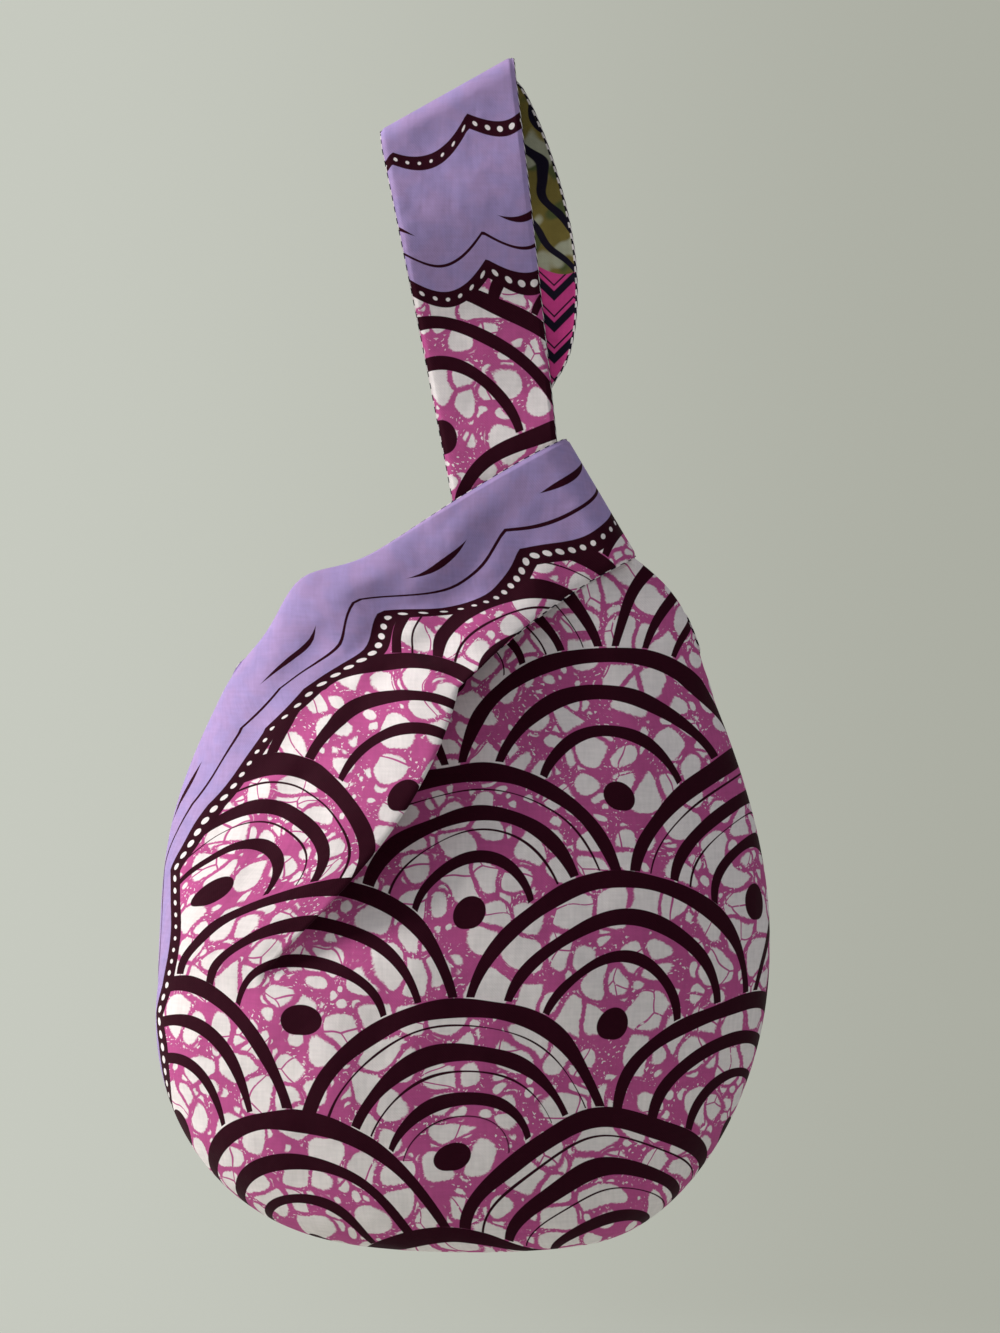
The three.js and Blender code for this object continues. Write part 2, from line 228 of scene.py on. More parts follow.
def unit(v):
    """Vectors of length 1. A vector of no length becomes a downward one."""
    size = np.linalg.norm(v, axis=-1, keepdims=True)
    return np.where(size > 1e-12, v / np.maximum(size, 1e-12), [0.0, 0.0, -1.0])


def point(x, y, z):
    """Points from their three places."""
    return np.stack(np.broadcast_arrays(x, y, z), axis=-1)


def arc(grid, axis):
    """Length along the rows or columns of a grid, from its first point."""
    step = np.linalg.norm(np.diff(grid, axis=axis), axis=-1)
    start = np.zeros_like(np.take(step, [0], axis=axis))
    return np.concatenate([start, np.cumsum(step, axis=axis)], axis=axis)


def row_shares(row):
    """Place of each point along a row, as a share of its length."""
    along = arc(row, 0)
    return along / along[-1]


def crowded(count):
    """Shares from 0 to 1 that lie closer together at both ends: sums of steps that swell as a sine does."""
    step = 0.14 + np.sin(np.pi * np.linspace(0.0, 1.0, count))
    return np.concatenate([[0.0], np.cumsum(step)]) / step.sum()


def bridge(start, leave, end, arrive, t):
    """A cubic path between two points whose end tangents are the given ones times the distance."""
    reach = np.linalg.norm(end - start, axis=-1, keepdims=True)
    return (
        start * (2 * t**3 - 3 * t**2 + 1)
        + leave * reach * (t**3 - 2 * t**2 + t)
        + end * (3 * t**2 - 2 * t**3)
        + arrive * reach * (t**3 - t**2)
    )


def relaxed(grid, share, passes):
    """A grid whose inner rows are drawn, by a share of the way, to the mean of themselves and the rows beside
    them, several times over."""
    for _ in range(passes):
        near = 0.5 * grid[1:-1] + 0.25 * (grid[:-2] + grid[2:])
        grid = np.concatenate([grid[:1], mix(grid[1:-1], near, share), grid[-1:]])
    return grid


def measures(s):
    """Places that several pieces share. The strap's frame runs from the knot up to the hang point."""
    knot = np.array([s.knot_offset, 0.0, -s.handle_drop])
    along = -knot / np.linalg.norm(knot)
    across = np.array([along[2], 0.0, -along[0]])
    hang = float(np.linalg.norm(knot))
    stack = s.outer_cloth + s.layer_gap + s.lining_cloth
    m = SimpleNamespace(s=s, knot=knot, along=along, across=across, hang=hang)
    m.base = -s.handle_drop - s.knot_rise - s.body_height
    m.fold_foot = hang + stack - s.fold_radius
    m.turn_upper = on_strap(m, s.loop_side, s.loop_side * NECK_SLOPE, 0.0)
    m.turn_lower = m.turn_upper + s.loop_edge_spread * across - s.loop_edge_height * along
    return m


def on_strap(m, a, b, y):
    """The point a to the right of the strap's middle line and b above the knot, at depth y."""
    a, b, y = (v[..., None] for v in np.broadcast_arrays(a, b, y))
    return m.knot + a * m.across + b * m.along + y * BACKWARD


def front_face(m, u, h):
    """Outer face of the front at column u, from the left seam to the right one, and share h of the height.

    Each level is half an ellipse, whose half sizes swell as a quarter circle from the base to the widest
    level and taper to the rim. The left side hangs out a little, as sines of the height do. Left of the
    pleat's crest the face is raised to a lobe, which falls away as an exponential does, and right of it sunk to
    a hollow, and both roll sideways over each other as the slope of a bell curve does. Slow waves make it
    uneven, quicker ones dent the lobe, and the quickest gather the cloth above the base.
    """
    s = m.s
    swell = np.sqrt(1.0 - (1.0 - np.minimum(h / WIDEST, 1.0)) ** 2)
    taper = np.maximum((h - WIDEST) / (1.0 - WIDEST), 0.0)
    middle = s.knot_offset * BODY_ASIDE + s.body_lean * h - s.rim_pull * smooth(h, PULL_FROM, 1.0)
    middle = middle + s.base_shift * (1.0 - swell) ** 2
    half_width = mix(s.base_width, s.body_width, swell) / 2 - taper**2 * (s.body_width - s.rim_width) / 2
    half_depth = mix(s.base_depth, s.body_depth, swell) / 2 - taper**1.5 * (s.body_depth - s.rim_depth) / 2

    below = np.minimum((1.0 - h) / (1.0 - WIDEST), 1.0)
    share = mix(PLEAT_HIGH, PLEAT_LOW, below**PLEAT_BEND)
    crest = np.arccos(-share) / np.pi
    turn = np.where(u < CREST, crest * u / CREST, mix(crest, 1.0, (u - CREST) / (1.0 - CREST)))
    leftward = 0.5 + 0.5 * np.cos(np.pi * turn)
    sag = np.sin(np.pi * np.minimum(h / SAG_TOP, 1.0)) ** SAG_BEND * leftward**2
    sag = sag + LOBE_SAG * np.sin(np.pi * taper) ** 2 * leftward**4
    x = -half_width * np.cos(np.pi * turn) - s.left_sag * sag
    z = m.base + s.body_height * h + 0.0 * u

    aside = x - share * half_width
    lobe = s.lobe_rise * np.exp(np.minimum(aside, 0.0) / s.lobe_reach)
    hollow = -s.hollow_depth * (1.0 - smooth(aside, 0.0, s.hollow_reach))
    strength = smooth(h, FOLD_FROM, FOLD_FULL) ** FOLD_BEND
    fold = mix(lobe, hollow, smooth(aside, -s.pleat_edge, s.pleat_edge)) * strength
    near = aside / (1.1 * s.pleat_edge)
    roll = -s.pleat_roll * strength * near * np.exp(0.5 - 0.5 * near**2)

    waves = ripple(x, z, across=0.0135, sway=1.4, sway_length=0.031, up=0.0185, slant=0.05)
    finer = ripple(x, z, across=0.0062, sway=1.0, sway_length=0.014, up=0.011, slant=-0.022, lean=0.6)
    uneven = s.dimple * (waves + 0.45 * finer) * smooth(h, 0.02, 0.3)
    dents = ripple(x, z, across=0.0046, sway=1.3, sway_length=0.013, up=0.0054, slant=-0.012)
    on_lobe = smooth(h, 0.55, 0.75) * (1.0 - smooth(aside, -0.05, -0.012))
    gathers = np.sin(x / 0.0033 + 2.0 * np.sin(x / 0.017)) * np.exp(-h / 0.045) * smooth(h, 0.0, 0.02)
    uneven = uneven + s.dent * dents * on_lobe + s.pucker * gathers
    depth = np.sin(np.pi * turn) * (half_depth + fold + uneven)
    return point(middle + x + roll, -s.seam_gap - depth, z), turn


def band_turn(m, q, angle):
    """The loop's turn round the strap's edge: half an ellipse about a slanted line, at share q of the width."""
    s = m.s
    centre = mix(m.turn_upper, m.turn_lower, q[..., None]) - s.loop_radius * CLIMB
    y = -(s.seam_gap + (s.loop_radius - s.seam_gap) * np.cos(angle))
    return centre + s.loop_radius * np.sin(angle)[..., None] * CLIMB + y[..., None] * BACKWARD


def band_rows(m, rim, edge):
    """The short handle: cubic paths from the lobe's rim up to the turn, then round it. A bell curve lifts its
    upper edge to a corner where it leaves the lobe, and waves make it slack and dented."""
    q = row_shares(rim)
    end = band_turn(m, q, np.zeros_like(q))
    level = unit((end - rim) * IN_PLANE)
    leave = mix(edge, level, q[:, None])
    leave[:, 1] = mix(-0.6, 0.22, smooth(q, 0.0, 0.55))
    leave = unit(leave) * mix(0.7, 0.4, q**3)[:, None]
    arrive = CLIMB * mix(0.6, 1.0, smooth(q, 0.0, 0.6))[:, None]
    t = np.linspace(0.0, 1.0, BAND_ROWS)[:, None, None]
    run = bridge(rim, leave, end, arrive, t)
    run = run + KNUCKLE * (m.s.knuckle * bell(t, KNUCKLE_AT, KNUCKLE_WIDE) * ((1.0 - q) ** 3)[:, None])
    t = t[..., 0]
    slack = (wave(1.4 * q + 0.6 * t) + 0.6 * wave(2.1 * t - 1.7 * q, 1.0)) * np.sin(np.pi * t) ** 2
    dents = wave(4.3 * t + 1.2 * q, 0.5) * wave(1.9 * q - 1.1 * t)
    dents = dents * smooth(t, 0.02, 0.18) * (1.0 - smooth(t, 0.7, 0.95))
    run[..., 1] += (m.s.dimple * slack + m.s.dent * dents) * np.sin(np.pi * q)
    angle = np.linspace(0.0, np.pi / 2, TURN_ROWS + 1)[1:, None]
    return np.concatenate([run, band_turn(m, q[None, :] + 0.0 * angle, angle + 0.0 * q)])


def strap_rows(m, back, rim, edge):
    """The long handle: cubic paths from the rim to the knot, pushed out to a shoulder by a bell curve, then
    rows that slant at the knot, lie square at the swing line and slant again at the top fold, and a quarter
    turn round that fold. The run behind bows aside as a flattened sine does, fullest low down."""
    s = m.s
    q = row_shares(rim)
    c = 2.0 * q - 1.0
    a = c * s.neck_width / 2
    neck = on_strap(m, a, a * NECK_SLOPE, -s.neck_half_depth)
    outer = q[:, None] ** 3
    leave = unit(mix(np.array([0.0, 0.5, 1.0]), edge, outer)) * mix(1.0, 1.2, outer)
    t = np.linspace(0.0, 1.0, ROOT_ROWS)[:, None, None]
    root = bridge(rim, leave, neck, m.along * mix(1.0, 1.3, outer), t)
    ends = np.minimum(t / 0.1, 1.0) ** 2 * np.minimum((1.0 - t) / 0.2, 1.0)
    bulge = s.shoulder_bulge * outer * bell(t, SHOULDER_AT, SHOULDER_WIDE) * ends
    root = root + np.array([1.0, 0.0, 0.4]) * bulge
    t = t[..., 0]
    root[..., 1] += ROOT_RIPPLE * np.sin(np.pi * t) ** 2 * wave(2.5 * q, 0.8) * np.sin(np.pi * q)

    b = np.linspace(0.0, m.fold_foot, STRAP_ROWS + 1)[1:, None]
    below = np.clip(1.0 - b / s.hinge_height, 0.0, 1.0)
    above = np.clip((b - s.hinge_height) / (m.fold_foot - s.hinge_height), 0.0, 1.0)
    half = mix(s.neck_width, s.strap_width, b / m.hang) / 2
    share = np.clip((b - s.bow_start) / (m.fold_foot - s.bow_start), 0.0, 1.0)
    a = c * half + (s.back_bow * np.sin(np.pi * share**0.85) ** 0.75 if back else 0.0)
    opened = np.maximum((above - RUN_OPENS) / (1.0 - RUN_OPENS), 0.0)
    spread = mix(s.hinge_half_depth, s.fold_radius, smooth(opened, 0.0, 1.0))
    spread = spread + s.loop_bulge * np.sin(np.pi * opened) ** 2
    closed = mix(s.neck_half_depth, s.hinge_half_depth, smooth(1.0 - below, 0.0, 0.8))
    y = np.where(b < s.hinge_height, closed, spread)
    upper = on_strap(m, a, b + c * half * NECK_SLOPE * below + a * FOLD_SLOPE * above**2, -y + 0.0 * c)

    angle = np.linspace(0.0, np.pi / 2, FOLD_ROWS + 1)[1:, None]
    a = c * half[-1]
    y = s.seam_gap + (s.fold_radius - s.seam_gap) * np.cos(angle)
    rise = m.fold_foot + a * FOLD_SLOPE + s.fold_radius * np.sin(angle)
    return np.concatenate([root, upper, on_strap(m, a, rise, -y)])


def creased(grid, corner, depth):
    """A grid with a crease that starts at a corner: a step down across a slanted line, which dies out behind
    the line as an exponential does and is gone after 34 mm along it."""
    place = (grid - corner)[..., [0, 2]]
    along, aside = place @ CREASE_WAY, place @ CREASE_SIDE
    strength = smooth(along, -0.004, 0.004) * (1.0 - smooth(along, 0.018, 0.034))
    step = smooth(aside, -0.0015, 0.0015) * np.exp(-np.maximum(aside, 0.0) / 0.010)
    return grid + BACKWARD * (depth * step * strength)[..., None]


def half_bag(s, prints, back):
    """One half of the bag as a single grid: rows from the base seam up, columns from the left seam to the
    right one. Above the rim the columns left of the pleat are the short handle and the others the long one.
    The back is the front mirrored in the middle plane, apart from its own run of the long handle."""
    m = measures(s)
    u = np.concatenate([CREST * crowded(LOBE_COLUMNS), mix(CREST, 1.0, crowded(HOLLOW_COLUMNS))[1:]])
    lower = WIDEST * (1.0 - np.cos(np.linspace(0.0, np.pi / 2, LOWER_ROWS)))
    upper = np.linspace(WIDEST, 1.0, UPPER_ROWS)[1:]
    body, turn = front_face(m, u, np.concatenate([lower, upper])[:, None])
    tip = 1.0 - smooth(np.abs(u - CREST), 0.014, 0.028)
    body = relaxed(body.swapaxes(0, 1), tip[1:-1, None, None], 6).swapaxes(0, 1)

    share = np.linspace(0.0, 1.0, BASE_ROWS)[:-1, None]
    edge = body[:1]
    middle = edge[:, :1, 0] / 2 + edge[:, -1:, 0] / 2
    x = middle + (edge[..., 0] - middle) * mix(0.97, 1.0, share)
    base = point(x, mix(-s.seam_gap, edge[..., 1], share), edge[..., 2])
    turn = np.concatenate([np.repeat(turn[:1], len(base), axis=0), turn])
    body = np.concatenate([base, body])
    rim = len(body) - 1
    left = int(np.searchsorted(u, CREST * LOBE_SHARE)) - 1
    right = int(np.searchsorted(u, mix(CREST, 1.0, ROOT_SHARE)))

    slope = unit(body[rim] - body[rim - 2])
    band = band_rows(m, body[rim, : left + 1], slope[0])
    grid = np.zeros((rim + len(band), len(u), 3))
    grid[: rim + 1] = body
    grid[rim:, : left + 1] = band
    grid[rim:, right:] = strap_rows(m, back, body[rim, right:], slope[-1])
    column = np.arange(len(u))
    for first, last, apart in ((1, left, left - column), (right, len(u) - 1, column - right)):
        block = (slice(rim - RIM_ROWS, rim + RIM_ROWS + 1), slice(first, last))
        share = np.clip(apart[first:last] / RIM_COLUMNS, 0.0, 1.0)
        grid[block] = relaxed(grid[block], share[None, :, None], RIM_PASSES)
    if not back:
        grid[:, : left + 1] = creased(grid[:, : left + 1], grid[rim, left], s.crease)

    half = SimpleNamespace(m=m, grid=grid, rim=rim, left=left, right=right, back=back)
    half.side = "back" if back else "front"
    half.flat = flat_cut(half, turn)
    if back:
        half.flat = half.flat * [-1.0, 1.0] + BACK_PRINT
    half.border = border_place(half, prints.scallop)
    return half


def flat_cut(half, turn):
    """Where each point lies once the cloth is laid flat.

    On the body a point's place across is its length along the row from the middle line, and its height is
    the length of that line from the rim. On a handle one column is followed at its true length, and the
    others lie at their true length along the row, turned as the row is.
    """
    grid, rim = half.grid, half.rim
    flat = np.zeros(grid.shape[:2] + (2,))
    body = grid[: rim + 1]
    across = arc(body, 1)
    before = np.clip((turn < 0.5).sum(axis=1, keepdims=True) - 1, 0, turn.shape[1] - 2)

    def at(values, columns):
        return np.take_along_axis(values, columns, axis=1)

    part = (0.5 - at(turn, before)) / (at(turn, before + 1) - at(turn, before))
    middle = mix(at(across, before), at(across, before + 1), part)
    line = mix(at(body, before[..., None]), at(body, before[..., None] + 1), part[..., None])[:, 0]
    height = arc(line, 0)
    flat[: rim + 1, :, 0] = across - middle
    flat[: rim + 1, :, 1] = (height - height[-1])[:, None]

    def handle(first, last, lead):
        rows = grid[rim:, first : last + 1]
        step = np.diff(rows[:, lead], axis=0)
        way = unit(step * IN_PLANE)[:, [0, 2]] * np.linalg.norm(step, axis=1, keepdims=True)
        anchor = flat[rim, first + lead] + np.concatenate([np.zeros((1, 2)), np.cumsum(way, axis=0)])
        chord = unit((rows[:, -1] - rows[:, 0]) * IN_PLANE)[:, None, [0, 2]]
        along_row = arc(rows, 1)
        aside = (along_row - along_row[:, [lead]])[..., None]
        flat[rim:, first : last + 1] = anchor[:, None] + aside * chord

    last = grid.shape[1] - 1
    handle(0, half.left, half.left)
    handle(half.right, last, (last - half.right) // 2)
    return flat


def border_place(half, scallop):
    """Distance into the plain border field, and length along the border.

    Beside the left seam and on the short handle the border follows the edge at a width that changes with the
    height, and its line is a row of arches. On the long handle it lies across the strap, below the fold.
    """
    grid, rim, left, right = half.grid, half.rim, half.left, half.right
    last = grid.shape[1] - 1
    edge = arc(grid[:, : left + 1], 1)
    edge = np.concatenate([edge, np.repeat(edge[:, -1:], last - left, axis=1)], axis=1)
    edge[: rim + 1] = arc(grid[: rim + 1], 1)
    lead = int(np.searchsorted(edge[rim], FIELD_LEAD))
    run = arc(grid[:, [lead]], 0)
    run = run - run[rim]
    place = np.zeros(grid.shape[:2] + (2,))
    arches = BAND_ARCH * np.abs(np.sin(np.pi * run / scallop + 0.9))
    place[..., 0] = np.interp(run, FIELD_RUN, FIELD_WIDTH) + arches - edge
    place[..., 1] = run

    strap = grid[rim:, right:]
    centre = (last - right) // 2
    along = arc(strap[:, [centre]], 0)
    across = arc(strap, 1)
    across = across - across[:, [centre]]
    arches = STRAP_ARCH * np.abs(np.sin(np.pi * across / (0.55 * scallop) + 0.5))
    place[rim:, right:, 0] = along - along[-1] + STRAP_FIELD + arches
    place[rim:, right:, 1] = across
    return place


def outward(half, grid):
    """Outward normals: the step along a row crossed with the step up a column. Each handle is taken together
    with the body under it, so that the cloth is smooth across the rim."""
    rim = half.rim

    def block(part):
        return unit(np.cross(np.gradient(part, axis=1), np.gradient(part, axis=0)))

    normals = np.zeros_like(grid)
    normals[: rim + 1] = block(grid[: rim + 1])
    for columns in (slice(0, half.left + 1), slice(half.right, None)):
        normals[rim:, columns] = block(grid[:, columns])[rim:]
    return normals


def evened(normals):
    """Normals evened out along the rows, so that a layer set back along them doesn't cross itself inside the
    tight bend at the pleat's crest."""
    return unit(relaxed(normals.swapaxes(0, 1), 1.0, 12).swapaxes(0, 1))


def edge_distance(half):
    """Distance of each point along its row from the seam and from a handle's free edge, and how far it lies
    above the rim."""
    grid, rim, left, right = half.grid, half.rim, half.left, half.right
    rows = arc(grid, 1)
    seam = np.minimum(rows, rows[:, -1:] - rows)
    free, height = np.full(seam.shape, 1.0), np.zeros(seam.shape)
    band, strap = arc(grid[rim:, : left + 1], 1), arc(grid[rim:, right:], 1)
    seam[rim:, : left + 1], free[rim:, : left + 1] = band, band[:, -1:] - band
    seam[rim:, right:], free[rim:, right:] = strap[:, -1:] - strap, strap
    for columns in (slice(0, left + 1), slice(right, None)):
        height[rim:, columns] = arc(grid[rim:, columns], 0)
    return seam, free, height


def cloth_layer(half, lining):
    """Outer and inner face of one layer over the whole half, with normals.

    The printed cloth turns in towards the lining over the last millimetres before an edge. The lining comes
    up to meet it there and stands a little past it on the handles.
    """
    s, grid, rim = half.m.s, half.grid, half.rim
    normals = outward(half, grid)
    seam, free, height = edge_distance(half)
    rise = smooth(height, 0.010, 0.030)
    turned = np.maximum(1.0 - smooth(seam, 0.0, EDGE), rise * (1.0 - smooth(free, 0.0, EDGE)))
    if lining:
        sunk = s.outer_cloth + s.layer_gap + 0.25 * s.edge_roll * turned * rise
        face = grid - evened(normals) * sunk[..., None]
        ends = np.zeros_like(grid)
        for edge, beside in ((0, 1), (-1, -2), (half.left, half.left - 1), (half.right, half.right + 1)):
            ends[rim:, edge] = grid[rim:, edge] - grid[rim:, beside]
        size = np.linalg.norm(ends, axis=-1, keepdims=True)
        face = face + ends / np.maximum(size, 1e-9) * (s.lining_peek * rise)[..., None]
    else:
        face = grid - normals * (s.edge_roll * turned)[..., None]
    normals = outward(half, face)
    thick = s.lining_cloth if lining else s.outer_cloth
    return face, face - evened(normals) * thick, normals


# Making meshes


def closed_shell(name, outer, inner, normals, maps, flip):
    """A closed piece of cloth between an outer and an inner grid, joined round its edge, with UV maps."""
    rows, columns = outer.shape[:2]
    count = rows * columns
    index = np.arange(count).reshape(rows, columns)
    corners = [index[:-1, :-1], index[:-1, 1:], index[1:, 1:], index[1:, :-1]]
    quads = np.stack(corners, axis=-1).reshape(-1, 4)
    ring = np.concatenate([index[0, :-1], index[:-1, -1], index[-1, :0:-1], index[:0:-1, 0]])
    following = np.roll(ring, -1)
    wall = np.stack([following, ring, ring + count, following + count], axis=-1)
    faces = np.concatenate([quads, quads[:, ::-1] + count, wall])
    points = np.concatenate([outer.reshape(-1, 3), inner.reshape(-1, 3)])
    normals = normals.reshape(-1, 3)
    corner_normals = np.concatenate([normals, -normals])[faces]
    beside = np.cross(points[following] - points[ring], normals[ring])
    corner_normals[len(quads) * 2 :] = unit(beside)[:, None]
    if flip:
        mirror = np.array([1.0, -1.0, 1.0])
        points = points * mirror
        faces = faces[:, ::-1]
        corner_normals = (corner_normals * mirror)[:, ::-1]

    mesh = bpy.data.meshes.new(name)
    mesh.from_pydata(points.tolist(), [], faces.tolist(), shade_flat=False)
    for label, values in maps.items():
        layer = mesh.uv_layers.new(name=label)
        both = np.concatenate([values.reshape(-1, 2)] * 2)
        layer.data.foreach_set("uv", both[faces.ravel()].ravel())
    mesh.normals_split_custom_set(corner_normals.reshape(-1, 3).tolist())
    piece = bpy.data.objects.new(name, mesh)
    bpy.context.scene.collection.objects.link(piece)
    return piece


def grid_area(grid):
    """Area of a grid of points: half the cross product of each cell's diagonals, added up."""
    one, other = grid[1:, 1:] - grid[:-1, :-1], grid[1:, :-1] - grid[:-1, 1:]
    return float(np.linalg.norm(np.cross(one, other), axis=-1).sum() / 2)


def cut_piece(half, kind, label, rows, columns):
    """One piece of a layer: a block of rows and columns of the half. Also gives its flat size and area, from
    its own lengths."""
    lining = kind == "lining"
    outer, inner, normals = cloth_layer(half, lining)
    block = (rows, columns)
    maps = {"Cloth": half.flat[block], "Border": half.border[block]}
    if lining:
        seam, free, height = edge_distance(half)
        edge = np.where(height > 0.0, np.minimum(seam, free), 1.0)
        maps["Edge"] = np.stack([edge, height], axis=-1)[block]
    name = f"{kind}_{half.side}_{label}"
    piece = closed_shell(name, outer[block], inner[block], normals[block], maps, half.back)
    piece.data.materials.append(cotton("Lining cotton" if lining else "Printed cotton"))
    flat = tuple(float(v) for v in np.ptp(maps["Cloth"].reshape(-1, 2), axis=0))
    return piece, flat, min(grid_area(outer[block]), 0.999 * flat[0] * flat[1])


def seam_strip(name, line, inward, sunk):
    """A sewn seam: a narrow strip along a line in the middle plane, sunk below the cloth and slightly round."""
    half_width, crown, thick = 0.0014, 0.00035, 0.0008
    width = np.linspace(-half_width, half_width, 7)
    inward = inward[:, None]
    depth = sunk + crown * (width / half_width) ** 2
    outer = line[:, None] + inward * depth[None, :, None] + width[None, :, None] * BACKWARD
    place = np.stack(np.broadcast_arrays(width[None, :], arc(line, 0)[:, None]), axis=-1)
    grids = [outer, outer + inward * thick, -inward + 0.0 * outer, place]
    towards = np.cross(BACKWARD, np.gradient(line, axis=0))
    if float((towards * inward[:, 0]).sum()) > 0:
        grids = [grid[::-1] for grid in grids]
    outer, inner, normals, place = grids
    piece = closed_shell(name, outer, inner, normals, {"Cloth": place}, False)
    piece.data.materials.append(cotton("Seam thread"))
    return piece


# Materials


class Wiring:
    """Adds nodes to a tree. A value may be a plain value or the socket that it comes from."""

    def __init__(self, tree):
        self.tree = tree

    def node(self, kind, values=None, **settings):
        """A node with its settings, and what its named or numbered sockets take."""
        made = self.tree.nodes.new(kind)
        for name, value in settings.items():
            setattr(made, name, value)
        for place, value in (values or {}).items():
            if isinstance(value, bpy.types.NodeSocket):
                self.tree.links.new(value, made.inputs[place])
            else:
                made.inputs[place].default_value = value
        return made

    def math(self, operation, *values):
        return self.node("ShaderNodeMath", dict(enumerate(values)), operation=operation).outputs[0]

    def times(self, a, b):
        return self.math("MULTIPLY", a, b)

    def minus(self, a, b):
        return self.math("SUBTRACT", a, b)

    def scaled(self, value, factor, plus):
        return self.math("MULTIPLY_ADD", value, factor, plus)

    def over(self, value, limit):
        """1 where value is above the limit."""
        return self.math("GREATER_THAN", value, limit)

    def apart(self, a, b):
        return self.math("ABSOLUTE", self.minus(a, b))

    def either(self, *masks):
        return reduce(lambda a, b: self.math("MAXIMUM", a, b), masks)

    def vector(self, operation, *values):
        return self.node("ShaderNodeVectorMath", dict(enumerate(values)), operation=operation).outputs[0]

    def length(self, vector):
        return self.node("ShaderNodeVectorMath", {0: vector}, operation="LENGTH").outputs["Value"]

    def ramp(self, value, low, high):
        """0 below low and 1 above high."""
        values = {"Value": value, "From Min": low, "From Max": high}
        return self.node("ShaderNodeMapRange", values, interpolation_type="SMOOTHSTEP").outputs[0]

    def inside(self, value, edge, blur):
        """1 where value is below edge, with a soft border."""
        return self.minus(1.0, self.ramp(value, self.minus(edge, blur), self.math("ADD", edge, blur)))

    def mix(self, factor, a, b):
        return self.node("ShaderNodeMix", {0: factor, 6: a, 7: b}, data_type="RGBA").outputs[2]

    def noise(self, vector, scale, detail=2.0, output="Fac"):
        values = {"Vector": vector, "Scale": scale, "Detail": detail}
        return self.node("ShaderNodeTexNoise", values).outputs[output]

    def drifted(self, place, scale, detail, reach):
        """A place moved to and fro by a slow noise."""
        aside = self.vector("SUBTRACT", self.noise(place, scale, detail, "Color"), (0.5, 0.5, 0.5))
        return self.vector("MULTIPLY_ADD", aside, (*reach, 0.0), place)

    def cells(self, vector, scale, feature):
        values = {"Vector": vector, "Scale": scale}
        return self.node("ShaderNodeTexVoronoi", values, feature=feature, voronoi_dimensions="2D").outputs

    def split(self, vector):
        return self.node("ShaderNodeSeparateXYZ", {0: vector}).outputs

    def join(self, x, y):
        return self.node("ShaderNodeCombineXYZ", {0: x, 1: y}).outputs[0]

    def uv(self, name):
        return self.node("ShaderNodeUVMap", uv_map=name).outputs[0]

    def bump(self, **values):
        return self.node("ShaderNodeBump", values).outputs[0]

    def group(self, name, **values):
        return self.node("ShaderNodeGroup", values, node_tree=node_group(name)).outputs


def clear_wiring(owner):
    """Wiring for a material or a world whose own nodes are taken away."""
    owner.use_nodes = True
    owner.node_tree.nodes.clear()
    return Wiring(owner.node_tree)


# Each of these wires up a node group: w adds the nodes, i holds what the group takes.


def wire_bubbles(w, i):
    """Undyed bubbles: round spots of chance sizes in the cells of a net, drawn out by a slow drift, with fuzzy
    edges and a thin crack through some of them. Small spots and clouds of specks fill the gaps."""
    cloth = w.drifted(i["Cloth"], 48.0, 1.0, (0.014, 0.011))
    scale = w.math("DIVIDE", 1.0, i["Size"])
    fuzz = w.minus(w.noise(cloth, 900.0, 3.0), 0.5)

    def spots(size, least, more, rough):
        edge = w.minus(w.cells(cloth, size, "DISTANCE_TO_EDGE")["Distance"], 0.045)
        cell = w.cells(cloth, size, "F1")
        chance = w.split(cell["Color"])
        reach = w.minus(w.scaled(chance[0], more, least), cell["Distance"])
        return w.scaled(fuzz, rough, w.math("SMOOTH_MIN", edge, reach, 0.2)), chance[2]

    large, chance = spots(scale, least=0.26, more=0.42, rough=0.1)
    small, small_chance = spots(w.times(scale, 2.4), least=0.16, more=0.42, rough=0.18)
    net = w.cells(cloth, w.times(scale, 0.93), "DISTANCE_TO_EDGE")["Distance"]
    crack = w.either(w.ramp(net, 0.012, 0.03), w.over(chance, 0.42))
    body = w.times(w.ramp(large, 0.0, 0.05), crack)
    gaps = w.times(w.inside(large, -0.09, 0.03), w.over(small_chance, 0.35))
    gaps = w.times(gaps, w.ramp(small, 0.0, 0.1))
    clouds = w.ramp(w.noise(cloth, 85.0, 0.0), 0.46, 0.6)
    specks = w.times(w.ramp(w.noise(cloth, 760.0, 1.0), 0.62, 0.67), clouds)
    return {"Mask": w.either(specks, body, gaps)}


